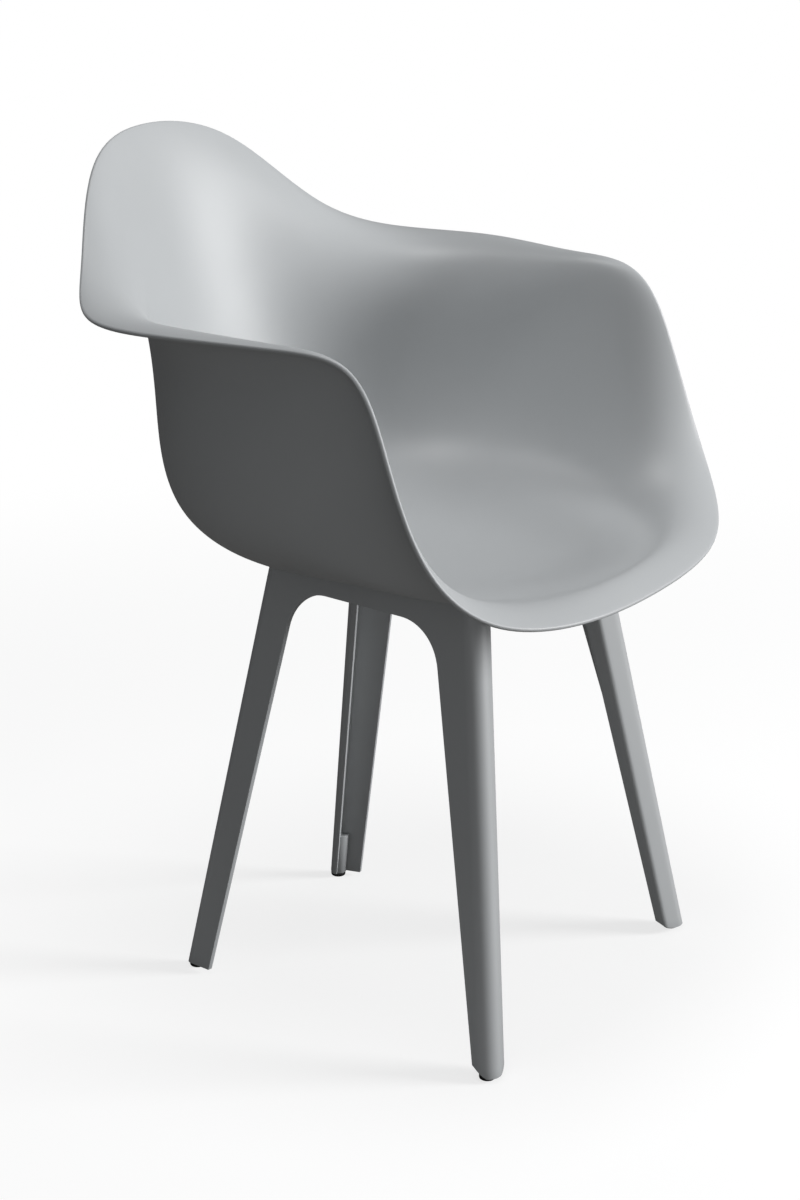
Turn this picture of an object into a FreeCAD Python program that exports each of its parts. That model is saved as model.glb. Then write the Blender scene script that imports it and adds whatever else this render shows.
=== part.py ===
import FreeCAD, Part
import math
import os
import Sketcher

os.makedirs("parts", exist_ok=True)
doc = FreeCAD.newDocument("ShellChair")
Vector, Rotation, Placement = FreeCAD.Vector, FreeCAD.Rotation, FreeCAD.Placement

# Driving dimensions, millimetres and degrees; names that end in Foot or Top are values at the leg's two ends
dimensions = {
    # shell: widths, depths and heights of its rings
    "shellWidth": 604.5, "shellDepth": 574.0, "backHeight": 824.0, "seatHeight": 429.0, "wallThick": 4.5,
    "navelRadius": 6.0, "middleRadius": 64.0,
    "seatWidth": 351.7, "seatFront": 213.0, "seatBack": 142.6, "seatRise": 17.1,
    "bowlWidth": 488.4, "bowlFront": 243.0, "bowlBack": 203.9, "bowlClimb": 0.164,
    "sideWidth": 514.7, "sideFront": 261.5, "sideBack": 213.3, "sideClimb": 0.591,
    "lipRise": 12.5, "backFollow": 0.40, "backNarrow": 0.25,
    # side frame: place, lean and rail
    "frameOutX": 212.1, "frameOutY": -218.6, "frameTurn": 10.4, "frameTilt": 8.63,
    "frameWall": 5.0, "legRise": 11.0, "railDrop": 22.0, "webDrop": 129.0,
    "frontArch": 51.0, "rearArch": 46.0, "shelfThick": 4.0, "shelfReach": 48.0, "shelfCorner": 6.0,
    "shellGap": 0.5, "edgeRound": 0.8, "faceRound": 4.0, "faceSweep": 30.0,
    # front leg: nose, side edge, nose radius, front face and its return lip
    "frontNoseFoot": 0.0, "frontNoseTop": 80.8, "frontEdgeFoot": 5.2, "frontEdgeTop": 118.0,
    "frontRadiusFoot": 14.0, "frontRadiusTop": 14.2, "frontFaceFoot": 17.4, "frontFaceTop": 20.8,
    "frontLipFoot": 9.8, "frontLipTop": 17.5,
    # rear leg: the same
    "rearNoseFoot": 378.6, "rearNoseTop": 311.2, "rearEdgeFoot": 353.2, "rearEdgeTop": 278.8,
    "rearRadiusFoot": 7.0, "rearRadiusTop": 15.0, "rearFaceFoot": 10.0, "rearFaceTop": 16.0,
    "rearLipFoot": 4.8, "rearLipTop": 6.9,
    # feet and glides
    "glideRadius": 7.8, "glideHeight": 4.5, "stemRadius": 3.7, "stemLength": 12.0, "stemTip": 2.0,
    "fitGap": 0.3, "frontInset": 13.8, "rearInset": 9.4, "bossRadius": 8.0, "bossHeight": 52.0,
    "footSlope": 31.0, "footStart": 8.0, "footReach": 45.0,
    # seat bolts and cross bars
    "boltReach": 27.0, "frontBolt": 94.0, "rearBolt": 289.0, "boltRadius": 3.0, "boltLength": 16.0,
    "headAcross": 11.0, "headThick": 4.0, "washerRadius": 8.0, "washerThick": 1.6,
    "insertRadius": 4.6, "insertLength": 8.0, "padRadius": 13.0, "barThick": 3.0, "barWidth": 30.0,
}
sheet = doc.addObject("Spreadsheet::Sheet", "Dimensions")
for row, (alias, value) in enumerate(dimensions.items(), start=1):
    sheet.set(f"A{row}", alias)
    sheet.set(f"B{row}", str(value))
    sheet.setAlias(f"B{row}", alias)
doc.recompute()


def size(alias):
    return float(sheet.get(alias))


def bind(feature, **expressions):
    for name, expression in expressions.items():
        feature.setExpression(name.replace("_", "."), expression)


# Levels and directions that follow from the driving dimensions
legTop = size("seatHeight") + size("legRise")
railBottom = size("seatHeight") - size("railDrop")
mountLevel = railBottom + size("shelfThick")
tilt = math.radians(size("frameTilt"))
frameOrigin = Vector(size("frameOutX"), size("frameOutY"), 0)
framePlacement = Placement(frameOrigin, Rotation(Vector(0, 0, 1), size("frameTurn")))


# Value at a height on a straight line from the leg's foot to its top
def along(name, height):
    foot, top = size(name + "Foot"), size(name + "Top")
    return foot + (top - foot) * height / legTop


# Sideways place of the frame's outer face at a height, in the frame's own axes
def lean(height):
    return -height * math.tan(tilt)


# Seat bolts of the left half, seen from above
boltSpots = {}
for end in ("front", "rear"):
    inFrame = Vector(lean(mountLevel) - size("boltReach"), size(end + "Bolt"), 0)
    boltSpots[end] = framePlacement.multVec(inFrame)


# Seat shell: a bicubic surface over a control cage of rings from the seat's middle out to the rim.
# Each station is a column of the cage, from the front middle round the left arm to the back middle:
# plan direction in degrees; the rim across, back and up from the seat; and how far the rolled edge
# reaches from the rim, all as shares of half the width, half the depth and the back's height above the seat
stations = {
    "frontMiddle": (-90, (0.000, -1.007, 0.000), (0.000, 0.091, 0.035)),
    "frontQuarter": (-66, (0.452, -0.986, 0.006), (-0.026, 0.091, 0.035)),
    "frontCorner": (-44, (0.803, -0.841, 0.039), (-0.073, 0.084, 0.038)),
    "armFoot": (-28, (0.941, -0.675, 0.184), (-0.099, 0.070, 0.030)),
    "armFront": (-14, (0.944, -0.557, 0.441), (-0.086, 0.084, 0.010)),
    "armCorner": (0, (0.925, -0.460, 0.639), (-0.066, 0.084, 0.018)),
    "armRest": (14, (0.908, -0.180, 0.637), (-0.086, 0.014, 0.023)),
    "elbow": (30, (1.028, 0.208, 0.654), (-0.219, -0.022, 0.035)),
    "rearCorner": (47, (0.970, 0.550, 0.648), (-0.235, -0.197, 0.030)),
    "backShoulder": (62, (0.672, 0.751, 0.711), (-0.121, -0.122, 0.000)),
    "backCorner": (76, (0.400, 0.948, 0.972), (-0.060, -0.070, -0.061)),
    "backMiddle": (90, (0.000, 1.028, 1.014), (0.000, -0.056, -0.086)),
}


# Ring of the cage on a superellipse whose front and back halves differ in depth
def flatRing(halfWidth, front, back, rise, frontRise, power):
    ring = []
    for angle, _, _ in stations.values():
        c, s = math.cos(math.radians(angle)), math.sin(math.radians(angle))
        reach = (abs(c) ** power + abs(s) ** power) ** (-1 / power)
        frontShare = max(0.0, -s) ** 2
        level = size("seatHeight") + rise + (frontRise - rise) * frontShare
        ring.append(Vector(halfWidth * c * reach, (front if s < 0 else back) * s * reach, level))
    return ring


# Eight rings of the left half, each from the front middle to the back middle
def halfCage():
    scale = (size("shellWidth") / 2, size("shellDepth") / 2, size("backHeight") - size("seatHeight"))
    seatMiddle = Vector(0, 0, size("seatHeight"))
    rim = [seatMiddle + Vector(*(share * length for share, length in zip(edge, scale)))
           for _, edge, _ in stations.values()]
    roll = [point + Vector(*(share * length for share, length in zip(reach, scale)))
            for point, (_, _, reach) in zip(rim, stations.values())]
    rise, lip = size("seatRise"), size("lipRise")
    navel = flatRing(size("navelRadius"), size("navelRadius"), size("navelRadius"), 0, 0, 2)
    middle = flatRing(size("middleRadius"), size("middleRadius"), size("middleRadius"), 0, 0, 2)
    inFront, behind = size("seatFront") * 0.8, size("seatBack") * 0.67
    seat = flatRing(size("seatWidth") / 3, inFront, behind, rise / 15, rise / 8, 2.1)
    corner = flatRing(size("seatWidth") / 2, size("seatFront"), size("seatBack"), rise, lip * 0.7, 2.15)
    bowl = flatRing(size("bowlWidth") / 2, size("bowlFront"), size("bowlBack"), rise, lip, 2.15)
    side = flatRing(size("sideWidth") / 2, size("sideFront"), size("sideBack"), rise, lip, 2.15)
    names = list(stations)
    for i, name in enumerate(names):
        if i >= names.index("armFoot"):
            climb = roll[i].z - corner[i].z
            bowl[i].z = corner[i].z + size("bowlClimb") * climb
            side[i].z = corner[i].z + size("sideClimb") * climb
        if i >= names.index("backShoulder"):
            side[i].y += size("backFollow") * (roll[i].y - side[i].y)
            side[i].x += size("backNarrow") * (roll[i].x - side[i].x)
    return [navel, middle, seat, corner, bowl, side, roll, rim]


def fullRing(half):
    return half + [Vector(-p.x, p.y, p.z) for p in reversed(half[1:-1])]


# Cage moved outward so that each pole keeps the distance from its neighbouring facets
def offsetCage(rings, distance):
    moved = []
    count = len(rings[0])
    for j, ring in enumerate(rings):
        out = []
        for i, pole in enumerate(ring):
            facets = []
            for a in (j - 1, j):
                for b in (i - 1, i):
                    if 0 <= a < len(rings) - 1:
                        p, q = rings[a][b], rings[a + 1][b]
                        r, s = rings[a + 1][(b + 1) % count], rings[a][(b + 1) % count]
                        facets.append((r - p).cross(q - s).normalize())
            total = sum(facets, Vector())
            total.normalize()
            share = sum(total.dot(f) for f in facets) / len(facets)
            out.append(pole + total * (distance / share))
        moved.append(out)
    for ring in (0, 1):
        moved[ring] = [Vector(p.x, p.y, p.z - distance) for p in rings[ring]]
    return moved


# Bicubic face, periodic round the ring and clamped at the first and last ring
def ringSurface(rings):
    surface = Part.BSplineSurface()
    around, spans = len(rings[0]), len(rings) - 3
    poles = [[ring[i] for ring in rings] for i in range(around)]
    surface.buildFromPolesMultsKnots(
        poles, [1] * (around + 1), [4] + [1] * (spans - 1) + [4],
        [float(k) for k in range(around + 1)], [float(k) for k in range(spans + 1)], True, False, 3, 3)
    return surface.toShape()


# Closed solid between the cage and the cage moved outward, with a half-round rim
def shellSolid(thickness):
    rings = [fullRing(half) for half in halfCage()]
    outer = offsetCage(rings, thickness)
    rimRings = [[], [], [], []]
    for i in range(len(rings[0])):
        run = (rings[-1][i] - rings[-2][i]).normalize() * (thickness * 2 / 3)
        for ring, pole in zip(rimRings, (rings[-1][i], rings[-1][i] + run, outer[-1][i] + run, outer[-1][i])):
            ring.append(pole)
    faces = [ringSurface(rings), ringSurface(outer), ringSurface(rimRings)]
    for face in faces[:2]:
        navel = min(face.Edges, key=lambda edge: edge.BoundBox.DiagonalLength)
        faces.append(Part.Face(Part.Wire([navel])))
    shell = Part.makeShell(faces)
    shell.sewShape()
    solid = Part.makeSolid(Part.Shell(shell.Faces))
    if solid.Volume < 0:
        solid.reverse()
    return solid


# Shell with a round pad under each seat bolt, bored for its threaded insert
def seatShell():
    solid = shellSolid(size("wallThick"))
    places = [Vector(side * spot.x, spot.y, mountLevel) for spot in boltSpots.values() for side in (1, -1)]
    pads = []
    for base in places:
        post = Part.makeCylinder(size("padRadius"), 4 * size("padRadius"), base)
        pads.append(min(post.cut(solid).Solids, key=lambda piece: piece.BoundBox.ZMin))
    solid = solid.fuse(pads)
    for base in places:
        bore = Part.makeCylinder(size("insertRadius") + size("fitGap"), size("insertLength"), base)
        solid = solid.cut(bore)
    feature = doc.addObject("Part::Feature", "SeatShell")
    feature.Shape = solid
    feature.Label = "seat_shell"
    return feature


# Sketch helpers

def originPlane(body, role):
    return next(item for item in body.Origin.OriginFeatures if item.Role == role)


def newBody(label, placement=None):
    body = doc.addObject("PartDesign::Body", label.title().replace("_", ""))
    body.Label = label
    if placement:
        body.Placement = placement
    return body


def newSketch(body, role, name, offset=None):
    sketch = body.newObject("Sketcher::SketchObject", name)
    sketch.AttachmentSupport = [(originPlane(body, role), "")]
    sketch.MapMode = "FlatFace"
    if offset:
        sketch.AttachmentOffset = offset
    return sketch


# Closed outline of straight runs whose corners (x, y, radius) are rounded
def drawOutline(sketch, corners):
    ends = []
    for i, (x, y, radius) in enumerate(corners):
        here = Vector(x, y, 0)
        back = (Vector(*corners[i - 1][:2], 0) - here).normalize()
        ahead = (Vector(*corners[(i + 1) % len(corners)][:2], 0) - here).normalize()
        half = back.getAngle(ahead) / 2
        step = radius / math.tan(half)
        nearest = here
        if radius:
            nearest = here + (back + ahead).normalize() * (radius / math.sin(half) - radius)
        ends.append((here + back * step, nearest, here + ahead * step, radius))
    shapes = []
    for i, (start, nearest, stop, radius) in enumerate(ends):
        if radius:
            shapes.append(Part.Arc(start, nearest, stop))
        shapes.append(Part.LineSegment(stop, ends[(i + 1) % len(ends)][0]))
    sketch.addGeometry(shapes, False)


# Side frame: front leg, rear leg and rail in one moulding, drawn in its own axes
# (outward, backward, up) from the front foot's outer face

# Corners of a leg's section at one end; toward is 1 for the front leg and -1 for the rear one
def legSection(leg, end, height, toward):
    nose, edge = size(f"{leg}Nose{end}"), size(f"{leg}Edge{end}")
    radius, face, lip = size(f"{leg}Radius{end}"), size(f"{leg}Face{end}"), size(f"{leg}Lip{end}")
    wall, sweep = size("frameWall"), math.radians(size("faceSweep"))
    free, blend = size("edgeRound"), size("faceRound")
    c, s = math.cos(sweep), math.sin(sweep)
    reach = c + math.tan(sweep) * (1 + s)
    inner = radius - wall
    side = abs(edge - nose)
    farX, farY = radius * s + face * c, -radius * c + face * s
    run = (farX - wall - inner * s) / c
    outline = [
        (-radius, side, free), (-radius, -reach * radius, radius), (farX, farY, blend),
        (farX, farY + lip, free), (farX - wall, farY + lip, free),
        (farX - wall, run * s - inner * c, blend / 2), (-inner, -reach * inner, inner), (-inner, side, free),
    ]
    middle = lean(height) - radius
    return [(middle - x, nose + toward * y, r) for x, y, r in outline]


def addLeg(body, leg, toward):
    sketches = []
    for end, height in (("Foot", 0.0), ("Top", legTop)):
        sketch = newSketch(body, "XY_Plane", f"{leg}Leg{end}", Placement(Vector(0, 0, height), Rotation()))
        drawOutline(sketch, legSection(leg, end, height, toward))
        sketches.append(sketch)
    bind(sketches[1], AttachmentOffset_Base_z="Dimensions.seatHeight + Dimensions.legRise")
    loft = body.newObject("PartDesign::AdditiveLoft", f"{leg}Leg")
    loft.Profile = sketches[0]
    loft.Sections = [sketches[1]]
    loft.Ruled = True
    doc.recompute()


# Plate in the leaning outer face: the rail and its two rounded arch corners
def addWeb(body):
    stretch = 1 / math.cos(tilt)
    start, top, rail = size("seatHeight") - size("webDrop"), legTop, railBottom
    corners = [
        (along("frontNose", start), start, 0), (along("frontEdge", start), start, 0),
        (along("frontEdge", rail), rail, size("frontArch")),
        (along("rearEdge", rail), rail, size("rearArch")),
        (along("rearEdge", start), start, 0), (along("rearNose", start), start, 0),
        (along("rearNose", top), top, 0), (along("frontNose", top), top, 0),
    ]
    leaning = Placement(Vector(), Rotation(Vector(1, 0, 0), -size("frameTilt")))
    sketch = newSketch(body, "YZ_Plane", "WebOutline", leaning)
    drawOutline(sketch, [(a, b * stretch, r) for a, b, r in corners])
    pad = body.newObject("PartDesign::Pad", "Web")
    pad.Profile = sketch
    pad.Reversed = True
    bind(pad, Length="Dimensions.frameWall")
    doc.recompute()


# Level shelf along the rail, with the bolt holes, that carries the shell's pads
def addShelf(body):
    outside = lean(mountLevel) - size("frameWall") / 2
    inside = lean(mountLevel) - size("shelfReach")
    front, rear = along("frontNose", mountLevel), along("rearNose", mountLevel)
    corner = size("shelfCorner")
    sketch = newSketch(body, "XY_Plane", "ShelfOutline", Placement(Vector(0, 0, railBottom), Rotation()))
    drawOutline(sketch, [(outside, front, 0), (outside, rear, 0),
                         (inside, rear, corner), (inside, front, corner)])
    bind(sketch, AttachmentOffset_Base_z="Dimensions.seatHeight - Dimensions.railDrop")
    pad = body.newObject("PartDesign::Pad", "Shelf")
    pad.Profile = sketch
    bind(pad, Length="Dimensions.shelfThick")
    doc.recompute()
    holes = newSketch(body, "XY_Plane", "BoltHoles", Placement(Vector(0, 0, mountLevel), Rotation()))
    bind(holes, AttachmentOffset_Base_z="Dimensions.seatHeight - Dimensions.railDrop + Dimensions.shelfThick")
    for end in ("front", "rear"):
        middle = Vector(lean(mountLevel) - size("boltReach"), size(end + "Bolt"), 0)
        holes.addGeometry(Part.Circle(middle, Vector(0, 0, 1), size("boltRadius") + size("fitGap")), False)
    solid = body.Shape.Volume
    pocket = body.newObject("PartDesign::Pocket", "BoltHolesCut")
    pocket.Profile = holes
    bind(pocket, Length="Dimensions.shelfThick")
    doc.recompute()
    if body.Shape.Volume >= solid:
        raise RuntimeError("The bolt holes cut nothing")


# Middle of a leg's boss and glide, equally far from the outer face and from the nose
def footAxis(leg, height):
    toward, inset = {"front": 1, "rear": -1}[leg], size(leg + "Inset")
    shift = toward * (inset - along(leg + "Radius", height))
    return Vector(lean(height) - inset, along(leg + "Nose", height) + shift, 0)


# Slanting end of the front leg, which rises from the nose to the free edges
def slantFrontFoot(body):
    start, reach = size("frontNoseFoot") - size("footStart"), size("footReach")
    base, rise = size("glideHeight"), size("footReach") * math.tan(math.radians(size("footSlope")))
    sketch = newSketch(body, "YZ_Plane", "FrontFootSlant")
    drawOutline(sketch, [(start, base, 0), (start + reach, base + rise, 0),
                         (start + reach, -1, 0), (start, -1, 0)])
    solid = body.Shape.Volume
    pocket = body.newObject("PartDesign::Pocket", "FrontFootSlantCut")
    pocket.Profile = sketch
    pocket.Midplane = True
    bind(pocket, Length="Dimensions.footReach * 4")
    doc.recompute()
    if body.Shape.Volume >= solid:
        raise RuntimeError("The front foot's slant cut nothing")


# Round boss in a foot, then one turned cut for the stem's bore and the level end
def addFoot(body, leg):
    rings = []
    for height in (0.0, size("bossHeight")):
        level = Placement(Vector(0, 0, height), Rotation())
        sketch = newSketch(body, "XY_Plane", f"{leg}Boss{len(rings)}", level)
        sketch.addGeometry(Part.Circle(footAxis(leg, height), Vector(0, 0, 1), size("bossRadius")), False)
        rings.append(sketch)
    boss = body.newObject("PartDesign::AdditiveLoft", f"{leg}Boss")
    boss.Profile = rings[0]
    boss.Sections = [rings[1]]
    doc.recompute()
    solid = body.Shape.Volume
    middle = footAxis(leg, 0)
    axis = Placement(Vector(middle.x, 0, -middle.y), Rotation())
    profile = newSketch(body, "XZ_Plane", f"{leg}FootProfile", axis)
    reach, base = size("footReach"), size("glideHeight")
    bore, depth = size("stemRadius") + size("fitGap"), base + size("stemLength") + size("fitGap")
    drawOutline(profile, [(0, -1, 0), (reach, -1, 0), (reach, base, 0),
                          (bore, base, 0), (bore, depth, 0), (0, depth, 0)])
    cut = body.newObject("PartDesign::Groove", f"{leg}FootCut")
    cut.Profile = profile
    cut.ReferenceAxis = (profile, ["V_Axis"])
    cut.Angle = 360
    doc.recompute()
    if body.Shape.Volume >= solid:
        raise RuntimeError("The foot's end cut nothing")


def sideFrame():
    body = newBody("side_frame_moulding", framePlacement)
    addLeg(body, "front", 1)
    addLeg(body, "rear", -1)
    addWeb(body)
    addShelf(body)
    slantFrontFoot(body)
    addFoot(body, "front")
    addFoot(body, "rear")
    return body


# Block above a smooth patch that follows the shell's underside over one side frame, less a small gap
def spaceAboveFrame():
    rings = [fullRing(half) for half in halfCage()]
    underside = ringSurface(offsetCage(rings, size("wallThick") + size("shellGap")))
    front, length = along("frontNose", legTop), along("rearNose", legTop) - along("frontNose", legTop)
    acrossFrame = [lean(legTop) - size("shelfReach") * share for share in (-0.33, 0.17, 0.67, 1.17)]
    alongFrame = [front + length * share for share in (-0.14, 0.1, 0.34, 0.58, 0.82, 1.06)]
    grid = []
    for y in alongFrame:
        row = []
        for x in acrossFrame:
            foot = framePlacement.multVec(Vector(x, y, 0))
            plumb = Part.makeLine(foot, foot + Vector(0, 0, size("backHeight")))
            row.append(plumb.distToShape(underside)[1][0][0])
        grid.append(row)
    patch = Part.BSplineSurface()
    patch.interpolate(grid)
    return patch.toShape().extrude(Vector(0, 0, legTop))


# Frame with its top trimmed to the shell's underside
def frameUnderShell(body):
    feature = doc.addObject("Part::Feature", "SideFrameLeft")
    feature.Shape = max(body.Shape.cut(spaceAboveFrame()).Solids, key=lambda solid: solid.Volume)
    feature.Label = "side_frame_left"
    return feature


def mirrored(source, label):
    mirror = doc.addObject("Part::Mirroring", label.title().replace("_", ""))
    mirror.Source = source
    mirror.Normal = Vector(1, 0, 0)
    mirror.Label = label
    return mirror


# Small parts, each a body at its own place

def primitive(body, kind, name, level, **expressions):
    feature = body.newObject("PartDesign::" + kind, name)
    feature.Placement = Placement(Vector(0, 0, level), Rotation())
    bind(feature, **expressions)
    return feature


# Fillet on the widest round edge at the lower end of a feature
def roundLowerEdge(body, feature, radius):
    doc.recompute()
    edges = feature.Shape.Edges
    lowest = feature.Shape.BoundBox.ZMin
    rims = [k for k, edge in enumerate(edges, start=1) if edge.BoundBox.ZMax < lowest + 0.01]
    widest = max(rims, key=lambda k: edges[k - 1].Length)
    fillet = body.newObject("PartDesign::Fillet", feature.Name + "Round")
    fillet.Base = (feature, [f"Edge{widest}"])
    bind(fillet, Radius=radius)


# Flat steel bar with round ends that ties the two side frames together
def crossBar(where):
    spot = boltSpots[where]
    level = railBottom - size("barThick")
    body = newBody(f"cross_bar_{where}", Placement(Vector(0, spot.y, level), Rotation()))
    sketch = newSketch(body, "XY_Plane", f"{where}BarOutline")
    half, end, hole = spot.x, size("barWidth") / 2, size("boltRadius") + size("fitGap")
    up = Vector(0, 0, 1)
    sketch.addGeometry([
        Part.LineSegment(Vector(-half, -end, 0), Vector(half, -end, 0)),
        Part.ArcOfCircle(Part.Circle(Vector(half, 0, 0), up, end), -math.pi / 2, math.pi / 2),
        Part.LineSegment(Vector(half, end, 0), Vector(-half, end, 0)),
        Part.ArcOfCircle(Part.Circle(Vector(-half, 0, 0), up, end), math.pi / 2, 3 * math.pi / 2),
        Part.Circle(Vector(half, 0, 0), up, hole), Part.Circle(Vector(-half, 0, 0), up, hole),
    ], False)
    rules = [Sketcher.Constraint("Tangent", i, 2, (i + 1) % 4, 1) for i in range(4)]
    rules += [Sketcher.Constraint("Coincident", 1, 3, 4, 3), Sketcher.Constraint("Coincident", 3, 3, 5, 3),
              Sketcher.Constraint("PointOnObject", 1, 3, -1), Sketcher.Constraint("Equal", 1, 3),
              Sketcher.Constraint("Symmetric", 1, 3, 3, 3, -1, 1), Sketcher.Constraint("Equal", 4, 5),
              Sketcher.Constraint("DistanceX", 3, 3, 1, 3, 2 * half)]
    sketch.addConstraint(rules)
    ends = sketch.addConstraint(Sketcher.Constraint("Radius", 1, end))
    bolts = sketch.addConstraint(Sketcher.Constraint("Radius", 4, hole))
    sketch.setExpression(f"Constraints[{ends}]", "Dimensions.barWidth / 2")
    sketch.setExpression(f"Constraints[{bolts}]", "Dimensions.boltRadius + Dimensions.fitGap")
    pad = body.newObject("PartDesign::Pad", f"{where}Bar")
    pad.Profile = sketch
    bind(pad, Length="Dimensions.barThick")
    return body


# Four alike pieces, one at each seat bolt, grouped as one sub-part of separate solids
def atBolts(label, build, level):
    bodies = []
    for where, spot in boltSpots.items():
        for side, hand in ((1, "left"), (-1, "right")):
            place = Placement(Vector(side * spot.x, spot.y, level), Rotation())
            body = newBody(f"{label}_{where}_{hand}", place)
            build(body)
            doc.recompute()
            bodies.append(body)
    group = doc.addObject("Part::Compound", label.title().replace("_", ""))
    group.Links = bodies
    group.Label = label
    return group


# Button-head bolt with a hexagon socket; level 0 is the underside of the head
def seatBolt(body):
    head = primitive(body, "AdditiveCylinder", "Head", -size("headThick"),
                     Radius="Dimensions.headAcross / 2", Height="Dimensions.headThick")
    roundLowerEdge(body, head, "Dimensions.headThick * 0.4")
    primitive(body, "AdditiveCylinder", "Shank", 0,
              Radius="Dimensions.boltRadius - Dimensions.fitGap", Height="Dimensions.boltLength")
    primitive(body, "SubtractivePrism", "Socket", -size("headThick"),
              Height="Dimensions.headThick * 0.6", Circumradius="Dimensions.headAcross * 0.21")


def washer(body):
    primitive(body, "AdditiveCylinder", "Disc", 0,
              Radius="Dimensions.washerRadius", Height="Dimensions.washerThick")
    primitive(body, "SubtractiveCylinder", "Hole", 0,
              Radius="Dimensions.boltRadius + Dimensions.fitGap", Height="Dimensions.washerThick")


def insert(body):
    primitive(body, "AdditiveCylinder", "Sleeve", 0,
              Radius="Dimensions.insertRadius", Height="Dimensions.insertLength")
    primitive(body, "SubtractiveCylinder", "Bore", 0,
              Radius="Dimensions.boltRadius", Height="Dimensions.insertLength")


# Push-in glide: a disc on the floor, rounded below, and a stem in the leg's bore
def glide(leg, side, hand):
    spot = framePlacement.multVec(footAxis(leg, 0))
    body = newBody(f"glide_{leg}_{hand}", Placement(Vector(side * spot.x, spot.y, 0), Rotation()))
    disc = primitive(body, "AdditiveCylinder", "Disc", 0,
                     Radius="Dimensions.glideRadius", Height="Dimensions.glideHeight")
    roundLowerEdge(body, disc, "Dimensions.glideHeight * 0.4")
    straight = size("stemLength") - size("stemTip")
    primitive(body, "AdditiveCylinder", "Stem", size("glideHeight"),
              Radius="Dimensions.stemRadius", Height="Dimensions.stemLength - Dimensions.stemTip")
    primitive(body, "AdditiveCone", "StemTip", size("glideHeight") + straight,
              Radius1="Dimensions.stemRadius", Radius2="Dimensions.stemRadius * 0.7",
              Height="Dimensions.stemTip")
    doc.recompute()
    return body


leftFrame = frameUnderShell(sideFrame())
headLevel = railBottom - size("barThick") - size("washerThick")
pieces = [
    seatShell(), leftFrame, mirrored(leftFrame, "side_frame_right"), crossBar("front"), crossBar("rear"),
    atBolts("seat_bolts", seatBolt, headLevel), atBolts("bolt_washers", washer, headLevel),
    atBolts("threaded_inserts", insert, mountLevel),
]
for leg in ("front", "rear"):
    pieces += [glide(leg, 1, "left"), glide(leg, -1, "right")]
doc.recompute()

for item in doc.Objects:
    if "Invalid" in item.State or "Error" in item.State:
        raise RuntimeError(f"{item.Label} did not build: {item.State}")
for piece in pieces:
    if piece.Shape.isNull() or not piece.Shape.isValid():
        raise RuntimeError(f"{piece.Label} has no valid shape")
for piece in pieces:
    piece.Shape.exportStep(f"parts/{piece.Label}.step")
    print(piece.Label, len(piece.Shape.Solids), round(piece.Shape.Volume), piece.Shape.isValid())
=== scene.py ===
import math

import bmesh
import bpy
from mathutils import Matrix, Vector
from mathutils.bvhtree import BVHTree
from mathutils.geometry import tessellate_polygon


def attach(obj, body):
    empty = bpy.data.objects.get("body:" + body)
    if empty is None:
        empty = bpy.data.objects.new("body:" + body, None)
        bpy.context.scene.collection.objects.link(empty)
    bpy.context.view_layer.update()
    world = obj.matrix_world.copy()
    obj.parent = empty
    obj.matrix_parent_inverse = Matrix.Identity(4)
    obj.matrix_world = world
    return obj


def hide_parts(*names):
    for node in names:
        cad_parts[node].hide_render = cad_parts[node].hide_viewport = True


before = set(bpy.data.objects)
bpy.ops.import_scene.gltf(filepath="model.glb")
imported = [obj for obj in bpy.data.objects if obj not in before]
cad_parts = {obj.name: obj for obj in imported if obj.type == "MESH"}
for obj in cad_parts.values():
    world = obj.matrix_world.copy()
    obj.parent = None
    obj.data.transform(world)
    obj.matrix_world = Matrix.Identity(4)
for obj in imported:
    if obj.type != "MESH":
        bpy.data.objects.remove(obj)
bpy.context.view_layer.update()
collection = bpy.context.scene.collection
mm = 0.001
# millimetres between a piece and its hole, steps around a turned piece, and its innermost ring in millimetres
fitGap, roundSteps, coreRadius = 0.3, 48, 1.0


# Mesh helpers

def placed(name, data):
    made = bpy.data.objects.new(name, data)
    collection.objects.link(made)
    return made


def newPiece(name, mesh, material, replaced):
    piece = placed(name, mesh)
    mesh.materials.clear()
    mesh.materials.append(material)
    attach(piece, "root")
    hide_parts(*replaced)


def meshFrom(name, points, faces, smooth=True):
    mesh = bpy.data.meshes.new(name)
    mesh.from_pydata([tuple(p) for p in points], [], faces)
    mesh.polygons.foreach_set("use_smooth", [smooth] * len(mesh.polygons))
    mesh.update()
    return mesh


def evaluatedMesh(name, carrier):
    # the carrier's mesh with its modifiers applied; the carrier itself goes
    bpy.context.view_layer.update()
    graph = bpy.context.evaluated_depsgraph_get()
    mesh = bpy.data.meshes.new_from_object(carrier.evaluated_get(graph))
    bpy.data.objects.remove(carrier)
    mesh.name = name
    return mesh


def finishMesh(name, mesh, modifiers):
    carrier = placed(name + "Carrier", mesh)
    for kind, settings in modifiers:
        modifier = carrier.modifiers.new(kind.title(), kind)
        for key, value in settings.items():
            setattr(modifier, key, value)
    return evaluatedMesh(name, carrier)


def joined(name, meshes, weld=None):
    bm = bmesh.new()
    for mesh in meshes:
        bm.from_mesh(mesh)
    if weld:
        bmesh.ops.remove_doubles(bm, verts=bm.verts, dist=weld)
    mesh = bpy.data.meshes.new(name)
    bm.to_mesh(mesh)
    bm.free()
    return mesh


def mirroredMesh(name, mesh):
    points = [Vector((-v.co.x, v.co.y, v.co.z)) for v in mesh.vertices]
    return meshFrom(name, points, [tuple(reversed(face.vertices)) for face in mesh.polygons])


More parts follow.
